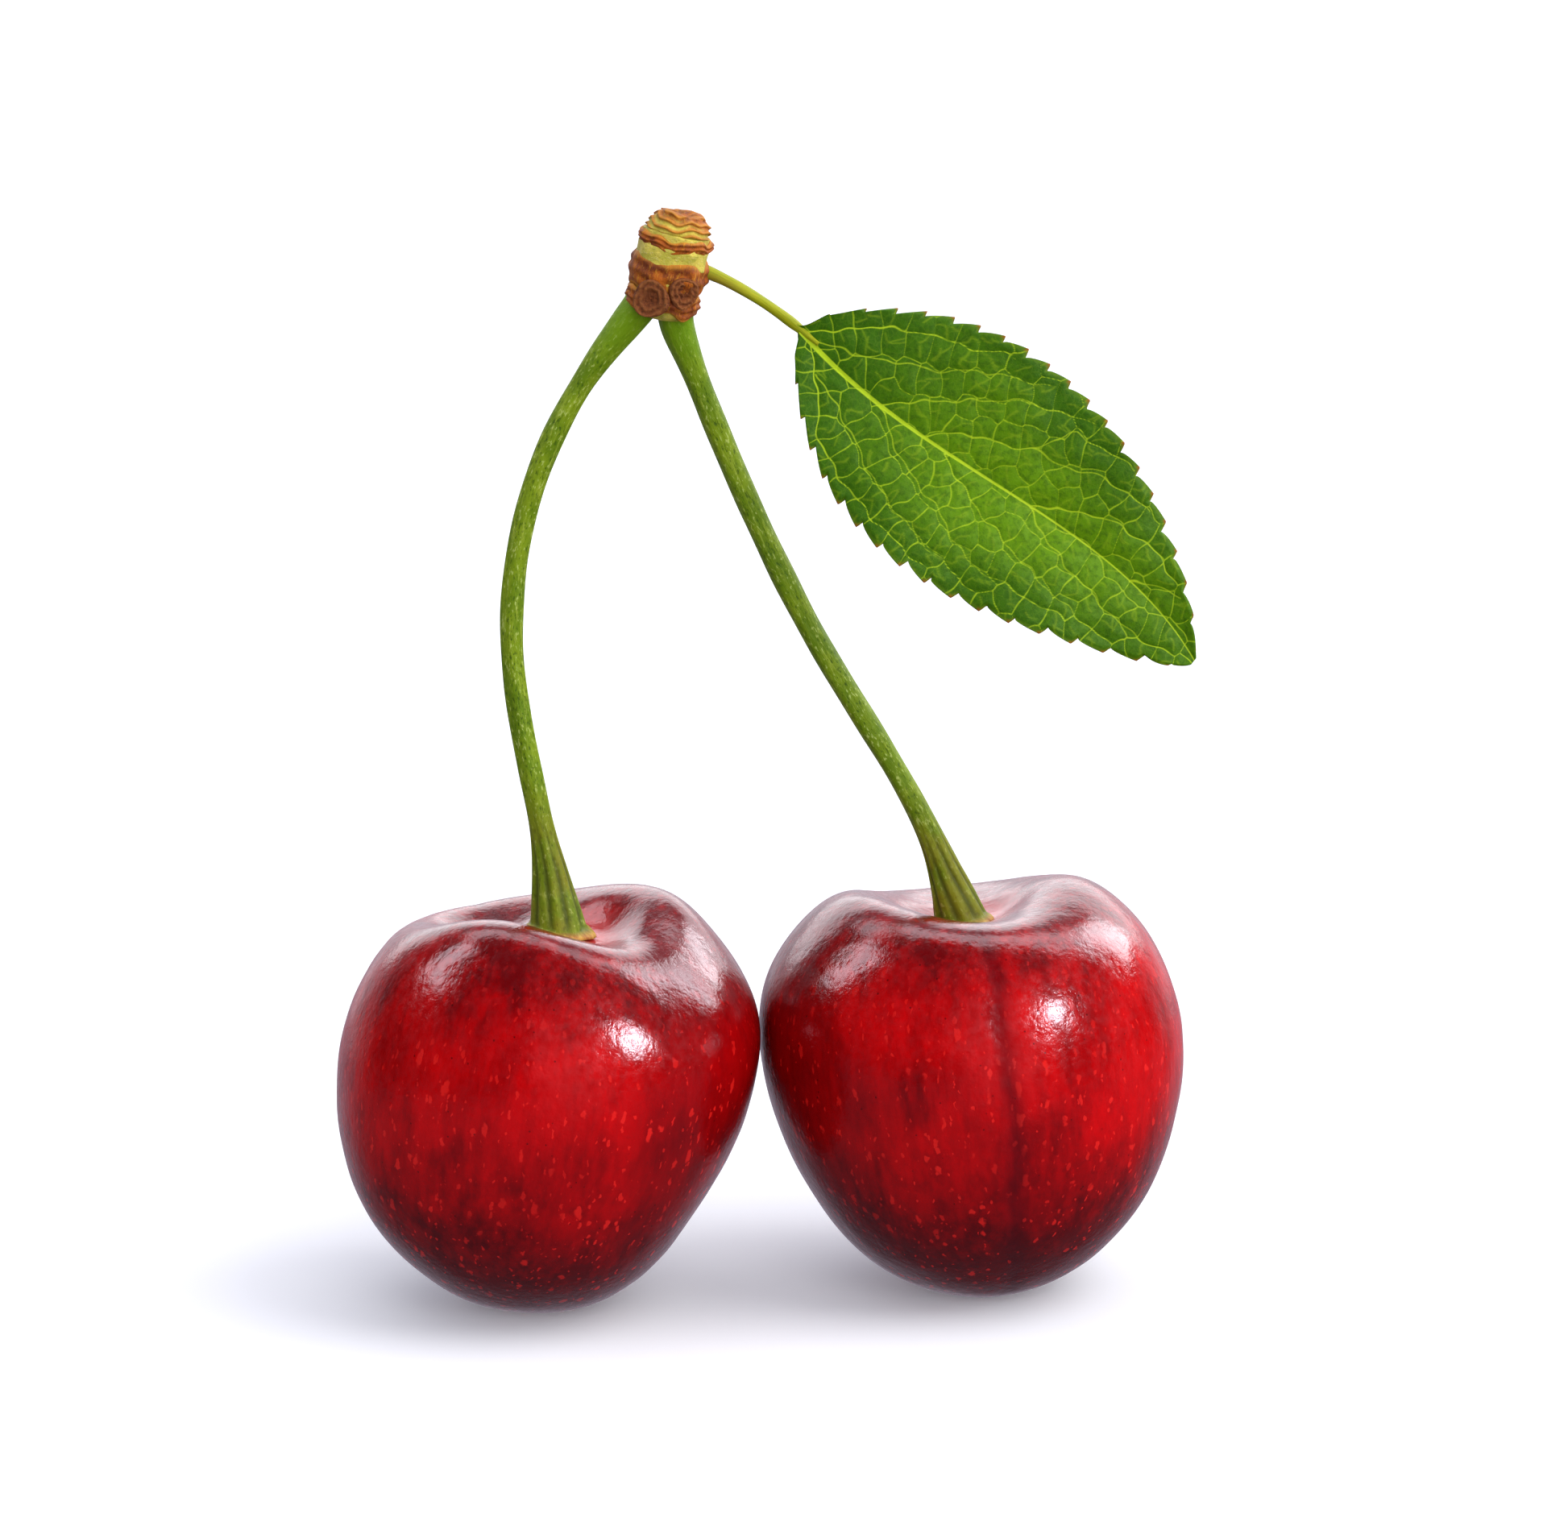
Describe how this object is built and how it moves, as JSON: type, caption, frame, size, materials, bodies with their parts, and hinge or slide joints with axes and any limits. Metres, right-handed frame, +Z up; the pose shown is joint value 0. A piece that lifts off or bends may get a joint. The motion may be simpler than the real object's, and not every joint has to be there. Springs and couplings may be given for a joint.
{
  "type": "cherries on stalks",
  "caption": "Ripe sweet cherries on long green stalks that meet at a short woody fruiting spur, with one toothed green leaf on its own stalk, standing on the fruit.",
  "frame": {"origin": "centre of the footprint of the whole, on the surface that the fruit rest on", "axes": "+X from the left fruit to the right one as seen from the front, +Y to the back, +Z up along the stalks"},
  "size_m": [0.053, 0.0282, 0.069],
  "materials": {
    "cherry_skin": "glossy, deep red with fine paler speckles",
    "stalk_green": "satin, finely fibred",
    "spur_bark": "matt yellow-green bark",
    "dry_scale": "matt, dry and papery",
    "corky_scar": "rough and corky",
    "leaf_stalk": "satin",
    "leaf_green": "satin with a net of pale veins"
  },
  "bodies": {
    "root": {"cherry_left": "cherry_skin", "cherry_right": "cherry_skin", "stalk_left": "stalk_green", "stalk_right": "stalk_green", "spur_bark": "spur_bark", "scale_collar_base": "dry_scale", "scale_collar_middle": "dry_scale", "scale_collar_upper": "dry_scale", "scale_crown": "dry_scale", "stalk_scar_front": "corky_scar", "stalk_scar_side": "corky_scar", "leaf_stalk": "leaf_stalk", "leaf_blade": "leaf_green"}
  },
  "joints": []
}
